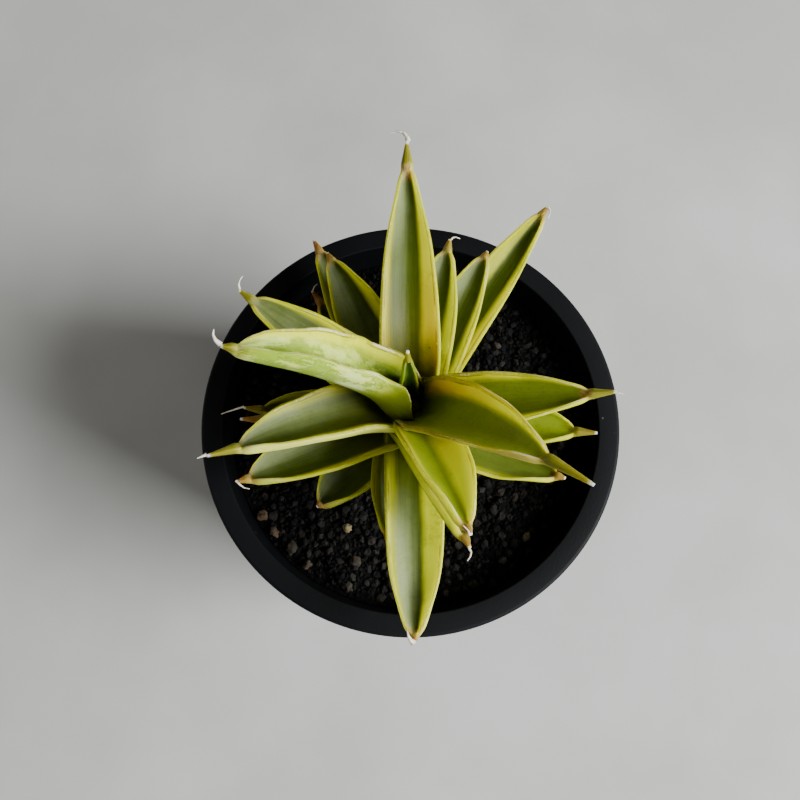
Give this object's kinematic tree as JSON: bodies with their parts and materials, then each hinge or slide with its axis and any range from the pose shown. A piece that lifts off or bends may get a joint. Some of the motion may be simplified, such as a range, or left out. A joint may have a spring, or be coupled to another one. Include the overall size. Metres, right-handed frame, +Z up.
{
  "type": "potted variegated pagoda snake plant",
  "caption": "Succulent rosette of thick channelled green and yellow leaves with horny tips, in dark grit in a matte black round pot.",
  "frame": {"origin": "centre of the flat underside of the pot", "axes": "+Z up along the pot and stem, +X to the right and +Y to the top of the reference view from above"},
  "size_m": [0.12, 0.1214, 0.174],
  "materials": {
    "pot": "matte black, faintly bluish, fine unglazed surface",
    "soil": "dark dry lava grit, rough, with a few pale and pinkish pebbles",
    "stem": "pale green plant tissue, matte",
    "leaf": "waxy leaf, green centre with yellow edge bands and a fine brown horny edge"
  },
  "bodies": {
    "root": {"pot": "pot", "soil": "soil", "stem": "stem", "leaf_01": "leaf", "leaf_02": "leaf", "leaf_03": "leaf", "leaf_04": "leaf", "leaf_05": "leaf", "leaf_06": "leaf", "leaf_07": "leaf", "leaf_08": "leaf", "leaf_09": "leaf", "leaf_10": "leaf", "leaf_11": "leaf", "leaf_12": "leaf", "leaf_13": "leaf", "leaf_14": "leaf", "leaf_15": "leaf", "leaf_16": "leaf", "leaf_17": "leaf", "leaf_18": "leaf", "leaf_19": "leaf", "leaf_20": "leaf", "leaf_21": "leaf", "leaf_22": "leaf", "leaf_23": "leaf"}
  },
  "joints": []
}
